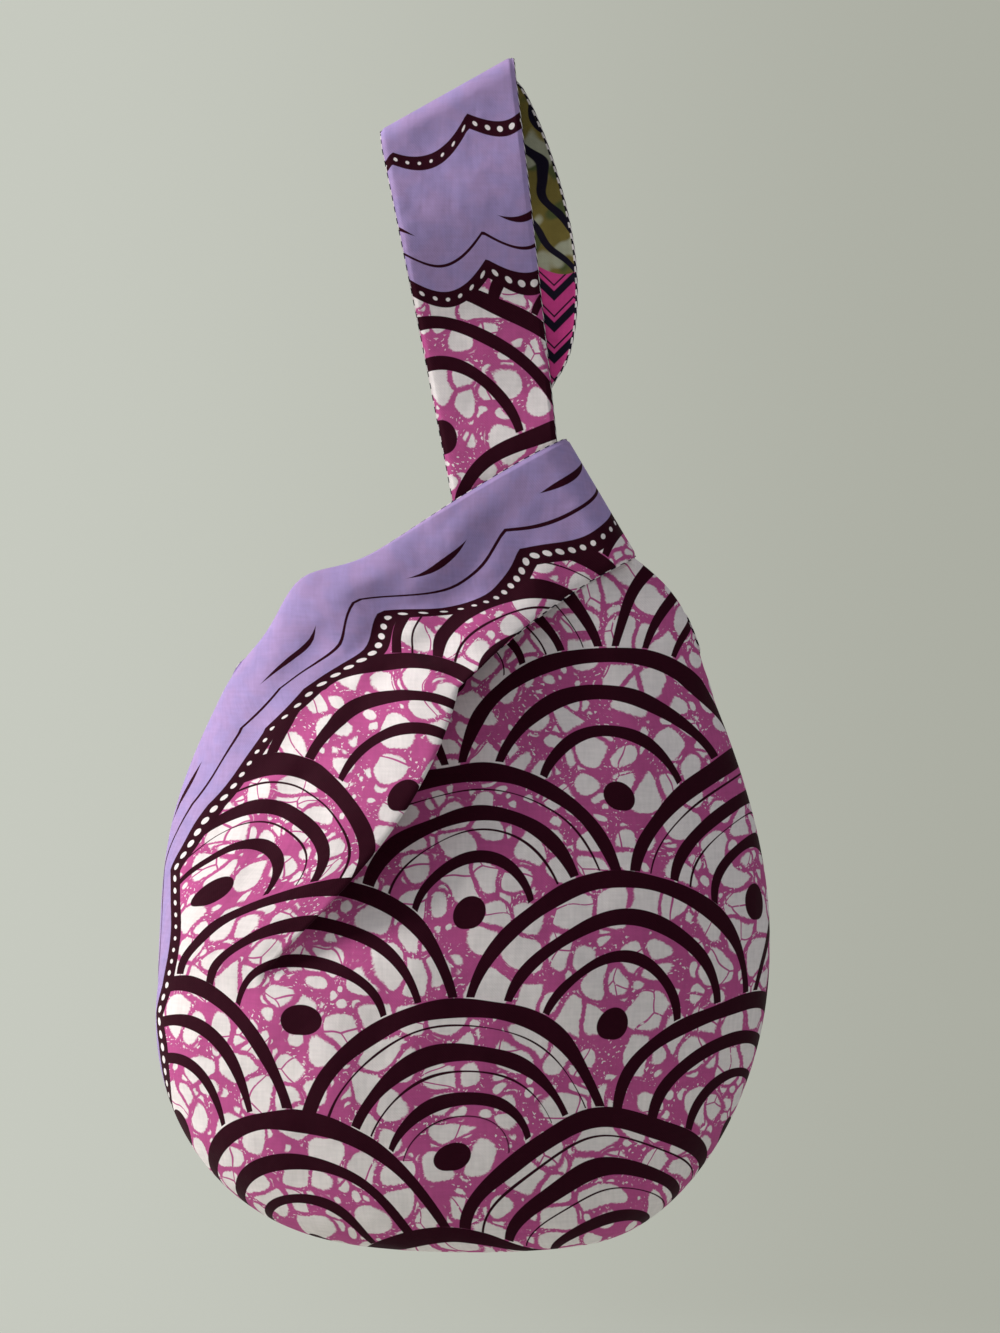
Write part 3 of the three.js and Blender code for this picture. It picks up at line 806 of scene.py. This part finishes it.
def wire_fans(w, i):
    """Drawn fans: rows of overlapping discs, a lower row in front of the one above it, with rings inside that
    swell towards the top and taper at the sides, a thin line between them, and a drop in the middle."""
    radius = i["Radius"]
    cloth = w.split(w.drifted(i["Cloth"], 15.0, 0.0, (0.022, 0.022)))
    width, rise = w.times(radius, 1.92), w.times(radius, 0.74)
    lowest = w.math("FLOOR", w.math("DIVIDE", cloth[1], rise))

    def disc(offset):
        row = w.math("ADD", lowest, offset)
        shift = w.times(w.math("FLOORED_MODULO", row, 2.0), w.times(width, 0.5))
        number = w.math("ROUND", w.math("DIVIDE", w.minus(cloth[0], shift), width))
        aside = w.minus(cloth[0], w.scaled(number, width, shift))
        above = w.minus(cloth[1], w.times(row, rise))
        return w.length(w.join(aside, above)), w.scaled(row, 7.31, number), above

    chosen = disc(1.0)
    for offset in (0.0, -1.0):
        nearer = disc(offset)
        front = w.math("LESS_THAN", nearer[0], radius)
        behind = w.minus(1.0, front)
        chosen = [w.scaled(near, front, w.times(far, behind)) for near, far in zip(nearer, chosen)]
    away, name, above = chosen
    chance = w.node("ShaderNodeTexWhiteNoise", {"W": name}, noise_dimensions="1D").outputs["Value"]
    gap = w.times(radius, w.scaled(chance, 0.05, 0.23))
    ring = w.math("FRACT", w.math("DIVIDE", w.minus(radius, away), gap))
    pen = w.noise(i["Cloth"], 34.0, 0.0)
    upright = w.math("DIVIDE", above, w.math("MAXIMUM", away, 0.001))
    share = w.scaled(w.math("DIVIDE", away, radius), 0.13, 0.07)
    share = w.times(w.times(share, w.scaled(upright, 0.72, 0.38)), w.scaled(pen, 0.9, 0.66))
    line = w.inside(w.apart(ring, 0.26), share, 0.008)
    thin = w.inside(w.apart(ring, 0.66), w.times(pen, 0.045), 0.008)
    thin = w.times(thin, w.over(chance, 0.45))
    outer = w.ramp(away, w.times(radius, 0.30), w.times(radius, 0.31))
    outer = w.times(outer, w.ramp(upright, 0.02, 0.06))
    drop = w.inside(away, w.times(radius, w.scaled(upright, 0.05, 0.10)), 0.0002)
    return {"Mask": w.either(w.times(w.either(line, thin), outer), drop)}


def wire_border(w, i):
    """The border: a drawn line with pearls along it, a thin line and tapered strokes that follow it inside the
    plain field, and a second, narrower row of pearls further in."""
    into, run, _ = w.split(i["Border"])
    pen = w.noise(i["Border"], 45.0, 0.0)
    into = w.math("ADD", into, w.scaled(pen, 0.003, -0.0015))
    step = w.minus(w.math("FRACT", w.math("DIVIDE", run, i["Pearl"])), 0.5)
    step = w.times(step, i["Pearl"])
    swing = w.math("SINE", w.times(run, 68.0))

    def row(place, half, large):
        beside = w.minus(into, place)
        line = w.inside(w.math("ABSOLUTE", beside), half, 0.00018)
        size = w.scaled(swing, 0.3 * large, large)
        return line, w.inside(w.length(w.join(step, beside)), size, 0.00016)

    line, pearl = row(0.0, w.times(i["Width"], w.scaled(swing, 0.08, 0.5)), 0.00135)
    inner, small = row(0.066, w.times(i["Width"], 0.38), 0.0011)
    thin = w.inside(w.apart(into, 0.0155), w.scaled(pen, 0.0009, 0.0003), 0.00015)
    taper = w.math("MAXIMUM", w.math("SINE", w.times(run, 95.0)), 0.0)
    stroke = w.inside(w.apart(into, 0.028), w.scaled(taper, 0.0019, -0.0003), 0.00015)
    return {
        "Field": w.ramp(into, -0.0002, 0.0002),
        "Line": w.either(line, thin, inner, stroke),
        "Pearl": w.either(pearl, small),
    }


def wire_weave(w, i):
    """Plain weave: the product of two waves across and along the yarns, with slubs both ways, soft creases and
    a mottled shade."""
    cloth = w.split(i["Cloth"])
    turns = w.math("DIVIDE", math.pi, i["Yarn"])
    waves = w.times(*(w.math("SINE", w.times(cloth[axis], turns)) for axis in (0, 1)))
    slub, weft = (
        w.noise(w.vector("MULTIPLY", i["Cloth"], stretch), 700.0)
        for stretch in ((1.0, 0.12, 1.0), (0.12, 1.0, 1.0))
    )
    fade, mottle = w.noise(i["Cloth"], 14.0), w.noise(i["Cloth"], 210.0)
    shade = w.scaled(w.math("ADD", slub, weft), 0.2, w.scaled(fade, 0.16, 0.65))
    return {
        "Height": w.scaled(waves, 0.5, w.times(slub, 0.6)),
        "Crease": w.noise(i["Cloth"], 38.0, 3.0),
        "Shade": w.scaled(mottle, 0.14, shade),
    }


GROUPS = {  # how each node group is wired up, and what it takes
    "Bubbles": (wire_bubbles, ["Cloth", "Size"]),
    "Fans": (wire_fans, ["Cloth", "Radius"]),
    "Border": (wire_border, ["Border", "Width", "Pearl"]),
    "Plain weave": (wire_weave, ["Cloth", "Yarn"]),
}


def node_group(name):
    """A shader node group, built once. What is called after a UV map is a vector, and all else a value."""
    tree = bpy.data.node_groups.get(name)
    if tree:
        return tree
    tree = bpy.data.node_groups.new(name, "ShaderNodeTree")
    wire, takes = GROUPS[name]
    for label in takes:
        kind = "Vector" if label in ("Cloth", "Border") else "Float"
        tree.interface.new_socket(label, in_out="INPUT", socket_type=f"NodeSocket{kind}")
    w = Wiring(tree)
    gives = wire(w, w.node("NodeGroupInput").outputs)
    for label in gives:
        tree.interface.new_socket(label, in_out="OUTPUT", socket_type="NodeSocketFloat")
    w.node("NodeGroupOutput", gives)
    return tree


def ink(value):
    """A colour with full cover."""
    return (*value, 1.0)


# Each of these gives the colour at a place on the flat cloth.


def paint_print(w, cloth, dye, prints):
    """Bubbles in a dyed ground under drawn fans, with a plain field behind a pearl border."""
    bubble = w.group("Bubbles", Cloth=cloth, Size=prints.bubble)["Mask"]
    fan = w.group("Fans", Cloth=cloth, Radius=prints.fan)["Mask"]
    edge = w.group("Border", Border=w.uv("Border"), Width=prints.border, Pearl=prints.pearl)
    patch = w.ramp(w.noise(cloth, 95.0, 3.0), 0.36, 0.64)
    shown = w.mix(bubble, ink(dye.ground), ink(dye.bubble))
    shown = w.mix(fan, shown, ink(dye.line))
    shown = w.mix(edge["Field"], shown, w.mix(patch, ink(dye.field), ink(dye.field_patch)))
    shown = w.mix(edge["Line"], shown, ink(dye.line))
    return w.mix(edge["Pearl"], shown, ink(dye.bubble))


def paint_lining(w, cloth, dye, prints):
    """Zigzag lines on a bright ground, leaf-like strokes on the upper part of the long handle, and dashes along
    the handles' edges."""
    border, edge, place = (w.split(v) for v in (w.uv("Border"), w.uv("Edge"), cloth))
    teeth = w.math("PINGPONG", place[0], prints.zigzag / 2)
    row = w.math("FRACT", w.math("DIVIDE", w.math("ADD", place[1], teeth), 0.8 * prints.zigzag))
    bold = w.inside(w.apart(row, 0.5), 0.16, 0.02)
    fine = w.inside(w.apart(row, 0.85), 0.035, 0.015)
    lower = w.mix(w.either(bold, fine), ink(dye.lining), ink(dye.lining_line))
    slant = w.scaled(place[0], 330.0, w.times(place[1], -210.0))
    bend = w.scaled(w.noise(cloth, 28.0, 1.0), 16.0, slant)
    leaf = w.ramp(w.math("SINE", bend), 0.62, 0.78)
    patches = w.split(w.noise(cloth, 60.0, 1.0, "Color"))
    green, pale = (w.ramp(value, 0.54, 0.6) for value in patches[:2])
    upper = w.mix(green, ink(dye.lining_field), ink(dye.lining_leaf))
    upper = w.mix(pale, upper, ink(dye.lining_pale))
    upper = w.mix(leaf, upper, ink(dye.lining_line))
    shown = w.mix(w.ramp(border[0], -0.0003, 0.0003), lower, upper)
    dash = w.ramp(w.math("SINE", w.times(edge[1], 2 * math.pi / prints.dash)), -0.15, 0.15)
    dashes = w.mix(dash, ink(dye.lining_line), ink(dye.bubble))
    return w.mix(w.ramp(edge[0], 0.0004, 0.0009), dashes, shown)


def paint_thread(w, cloth, dye, prints):
    """Lockstitch: stitches along the seam, in thread over folded cloth, made to look rounded by painted shade,
    the thread darkened to about a third in the dips between them.
    """
    stitch = w.math("SINE", w.times(w.split(cloth)[1], 2 * math.pi / prints.stitch))
    # Painted shade: the thread's own colour darkened in the dips between stitches
    stitch_dip_shade = tuple(0.35 * v for v in dye.thread)
    return w.mix(w.ramp(stitch, -0.5, 0.3), ink(stitch_dip_shade), ink(dye.thread))


PAINTS = {"Printed cotton": paint_print, "Lining cotton": paint_lining, "Seam thread": paint_thread}


def cotton(name):
    """A cotton material, built once: the painted colour, with the shade and the bumps of the weave."""
    made = bpy.data.materials.get(name)
    if made:
        return made
    scene = bpy.context.scene
    made = bpy.data.materials.new(name)
    w = clear_wiring(made)
    cloth = w.uv("Cloth")
    weave = w.group("Plain weave", Cloth=cloth, Yarn=scene.knot_bag_print.yarn)
    painted = PAINTS[name](w, cloth, scene.knot_bag_colours, scene.knot_bag_print)
    shaded = w.node("ShaderNodeVectorMath", {0: painted, "Scale": weave["Shade"]}, operation="SCALE")
    yarns = w.bump(Strength=0.25, Distance=0.0003, Height=weave["Height"])
    shader = w.node("ShaderNodeBsdfPrincipled", {
        "Base Color": shaded.outputs[0],
        "Roughness": w.scaled(weave["Height"], 0.08, 0.78),
        "Specular IOR Level": 0.06,
        "Sheen Weight": 0.02,
        "Sheen Roughness": 0.5,
        "Normal": w.bump(Strength=0.7, Distance=0.0032, Height=weave["Crease"], Normal=yarns),
    })
    w.node("ShaderNodeOutputMaterial", {"Surface": shader.outputs[0]})
    return made


# Pieces

SWING_REACH = 0.018  # distance on either side of the swing line at which two points of the strap's middle line are taken
HANDLE_SEAM, BODY_SEAM = 0.5, 0.6  # how deep the seams lie, as shares of the edge roll


def halves():
    """The front and the back half."""
    scene = bpy.context.scene
    return [half_bag(scene.knot_bag_sizes, scene.knot_bag_print, back) for back in (False, True)]


def body_panels(kind):
    """The front and the back of one layer of the body."""
    for half in halves():
        side = half.side
        piece, flat, area = cut_piece(half, kind, "cloth", slice(0, half.rim + 1), slice(None))
        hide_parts(f"{kind}_{side}_panel")
        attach(piece, "bag_body")


def lined_handle(half, label, body, nodes, columns, seam_way):
    """One half of a handle in both layers. The front half comes with the seam that joins the two halves, which
    faces the given way."""
    seams = []
    if not half.back:
        line = half.grid[-1, columns] * IN_PLANE
        inward = np.repeat(-seam_way[None], len(line), axis=0)
        seams = [seam_strip(f"{label}_seam", line, inward, half.m.s.edge_roll * HANDLE_SEAM)]
        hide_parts(f"{body}_seam")
        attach(seams[0], body)
    for kind, sewn in (("outer", seams), ("lining", [])):
        piece, flat, area = cut_piece(half, kind, label, slice(half.rim, None), columns)
        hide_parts(*(f"{node}_{half.side}_{kind}" for node in nodes))
        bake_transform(piece)


class OuterPanels(bpy.types.Operator):
    """Makes the front and back of the body in printed cotton, each with its half of the base"""

    bl_idname = "knot_bag.outer_panels"
    bl_label = "Outer panels"

    def execute(self, context):
        body_panels("outer")
        return {"FINISHED"}


class LiningPanels(bpy.types.Operator):
    """Makes the inner bag"""

    bl_idname = "knot_bag.lining_panels"
    bl_label = "Lining panels"

    def execute(self, context):
        body_panels("lining")
        return {"FINISHED"}


class ShortHandle(bpy.types.Operator):
    """Makes the short handle: a lined band that closes round the long handle, with the seam at its turn"""

    bl_idname = "knot_bag.short_handle"
    bl_label = "Short handle"

    def execute(self, context):
        for half in halves():
            lined_handle(
                half, "short_loop", "short_handle", nodes=["short_handle"], columns=slice(0, half.left + 1),
                seam_way=CLIMB,
            )
        return {"FINISHED"}


class LongHandle(bpy.types.Operator):
    """Makes the long handle: a lined strap from the shoulder through the loop to the top fold, with its seam"""

    bl_idname = "knot_bag.long_handle"
    bl_label = "Long handle"

    def execute(self, context):
        for half in halves():
            m, height = half.m, half.m.s.hinge_height
            low, high = (on_strap(m, 0.0, height + reach, 0.0) for reach in (-SWING_REACH, SWING_REACH))
            lined_handle(
                half, "long_strap", "long_handle", nodes=["long_root", "long_handle"],
                columns=slice(half.right, None), seam_way=m.along,
            )
        return {"FINISHED"}


class BodySeams(bpy.types.Operator):
    """Makes the side seams and the seam under the base"""

    bl_idname = "knot_bag.body_seams"
    bl_label = "Body seams"

    def execute(self, context):
        half = halves()[0]
        normals = outward(half, half.grid)
        side_rows = slice(BASE_ROWS, half.rim + 1)
        for name, node, place in (
            ("left_side_seam", "side_seam_left", (side_rows, 0)),
            ("right_side_seam", "side_seam_right", (side_rows, -1)),
            ("bottom_seam", "base_seam", (0, slice(None))),
        ):
            inward = unit(-normals[place] * IN_PLANE)
            piece = seam_strip(name, half.grid[place] * IN_PLANE, inward, half.m.s.edge_roll * BODY_SEAM)
            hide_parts(node)
            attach(piece, "bag_body")
        return {"FINISHED"}


# Stage

FLOOR_HEIGHT, FLOOR_RADII = -0.72, np.array([0.02, 0.4, 0.8, 1.2])
FLOOR_FADE = 0.55, 1.15  # radii between which the floor dies out
SKY_LIGHT, SKY_STRENGTH = (0.93, 0.96, 1.0, 1.0), 0.35
LAMP_TARGET = Vector((0.0, 0.0, -0.32))
LAMPS = (  # name, place, size, watts, colour
    ("window_lamp", (-1.42, -0.26, 0.38), 0.6, 29.0, (1.0, 0.98, 0.95)),
    ("front_lamp", (0.2, -1.6, 0.2), 1.2, 1.3, (1.0, 1.0, 1.0)),
    ("back_lamp", (0.1, 1.6, 0.3), 1.2, 8.0, (1.0, 1.0, 1.0)),
)
CAMERA_PLACE, CAMERA_SENSOR = (0.0232, -1.5, -0.2462), 36.0
VIEW_HEIGHT = 0.4325 * 1333 / 1000  # seen at the bag


def make_floor(scene, tint):
    """A flat disc in rings, which can't be seen from below and dies out towards its rim."""
    ring = np.linspace(0.0, 2 * np.pi, 65)[:-1]
    radii = FLOOR_RADII[:, None]
    points = point(radii * np.cos(ring), radii * np.sin(ring), FLOOR_HEIGHT).reshape(-1, 3)
    index = np.arange(len(points)).reshape(len(radii), len(ring))
    following = np.roll(index, -1, axis=1)
    quads = np.stack([index[:-1], index[1:], following[1:], following[:-1]], axis=-1).reshape(-1, 4)
    mesh = bpy.data.meshes.new("floor")
    mesh.from_pydata(points.tolist(), [], quads.tolist() + [index[0].tolist()])
    floor = bpy.data.objects.new("floor", mesh)
    scene.collection.objects.link(floor)

    paper = bpy.data.materials.new("Floor paper")
    w = clear_wiring(paper)
    place = w.node("ShaderNodeTexCoord").outputs["Object"]
    away = w.length(w.vector("MULTIPLY", place, (1.0, 1.0, 0.0)))
    above = w.minus(1.0, w.node("ShaderNodeNewGeometry").outputs["Backfacing"])
    shader = w.node("ShaderNodeBsdfPrincipled", {
        "Base Color": tint,
        "Roughness": 0.95,
        "Specular IOR Level": 0.1,
        "Alpha": w.times(above, w.minus(1.0, w.ramp(away, *FLOOR_FADE))),
    })
    w.node("ShaderNodeOutputMaterial", {"Surface": shader.outputs[0]})
    mesh.materials.append(paper)


def make_background(scene, tint, shade):
    """Soft even light. What the camera sees, also in a gloss, is a plain wall with painted shade, darker
    towards the right, away from the window.
    """
    scene.world = scene.world or bpy.data.worlds.new("Studio")
    w = clear_wiring(scene.world)
    light = w.node("ShaderNodeLightPath").outputs
    seen = w.either(*(light[f"Is {ray} Ray"] for ray in ("Camera", "Glossy", "Transmission")))
    across = w.split(w.node("ShaderNodeTexCoord").outputs["Generated"])[0]
    # Painted shade: the wall is darkened towards the right, away from the window
    wall = w.mix(w.ramp(across, -0.17, 0.17), tint, shade)
    soft = w.node("ShaderNodeBackground", {"Color": SKY_LIGHT, "Strength": SKY_STRENGTH}).outputs[0]
    shown = w.node("ShaderNodeBackground", {"Color": wall, "Strength": 1.0}).outputs[0]
    both = w.node("ShaderNodeMixShader", {0: seen, 1: soft, 2: shown}).outputs[0]
    w.node("ShaderNodeOutputWorld", {"Surface": both})


class Stage(bpy.types.Operator):
    """Makes the floor, the background, the lamps and the camera"""

    bl_idname = "knot_bag.stage"
    bl_label = "Stage"

    def execute(self, context):
        scene, dye = context.scene, context.scene.knot_bag_colours
        make_floor(scene, ink(dye.stage))
        make_background(scene, ink(dye.stage), ink(dye.stage_shade))
        for name, place, size, watts, tone in LAMPS:
            lamp = bpy.data.lights.new(name, "AREA")
            lamp.shape, lamp.size, lamp.energy, lamp.color = "DISK", size, watts, tone
            holder = bpy.data.objects.new(name, lamp)
            holder.location = place
            holder.rotation_euler = (LAMP_TARGET - Vector(place)).to_track_quat("-Z", "Y").to_euler()
            scene.collection.objects.link(holder)

        lens = bpy.data.cameras.new("camera")
        lens.sensor_fit, lens.sensor_width = "AUTO", CAMERA_SENSOR
        lens.lens = CAMERA_SENSOR * -CAMERA_PLACE[1] / VIEW_HEIGHT
        camera = bpy.data.objects.new("camera", lens)
        camera.location = CAMERA_PLACE
        camera.rotation_euler = (math.pi / 2, 0.0, 0.0)
        scene.collection.objects.link(camera)
        scene.camera = camera
        scene.view_settings.view_transform = "Standard"
        return {"FINISHED"}


class KnotBagPanel(bpy.types.Panel):
    """Lists the bag's pieces, sizes and colours"""

    bl_idname = "VIEW3D_PT_knot_bag"
    bl_label = "Knot bag"
    bl_space_type = "VIEW_3D"
    bl_region_type = "UI"
    bl_category = "Knot bag"

    def draw(self, context):
        for operator in operators:
            self.layout.operator(operator.bl_idname)
        scene = context.scene
        for group in (scene.knot_bag_sizes, scene.knot_bag_print, scene.knot_bag_colours):
            box = self.layout.box()
            for name in type(group).__annotations__:
                box.prop(group, name)


operators = (OuterPanels, LiningPanels, ShortHandle, LongHandle, BodySeams, Stage)
classes = (BagSizes, PrintColours, PrintSizes, *operators, KnotBagPanel)


def register():
    for item in classes:
        bpy.utils.register_class(item)
    bpy.types.Scene.knot_bag_sizes = PointerProperty(type=BagSizes)
    bpy.types.Scene.knot_bag_colours = PointerProperty(type=PrintColours)
    bpy.types.Scene.knot_bag_print = PointerProperty(type=PrintSizes)


def unregister():
    del bpy.types.Scene.knot_bag_print, bpy.types.Scene.knot_bag_colours, bpy.types.Scene.knot_bag_sizes
    for item in reversed(classes):
        bpy.utils.unregister_class(item)


def main():
    register()
    bpy.ops.knot_bag.stage()
    bpy.ops.knot_bag.outer_panels()
    bpy.ops.knot_bag.lining_panels()
    bpy.ops.knot_bag.short_handle()
    bpy.ops.knot_bag.long_handle()
    bpy.ops.knot_bag.body_seams()


if __name__ == "__main__":
    main()
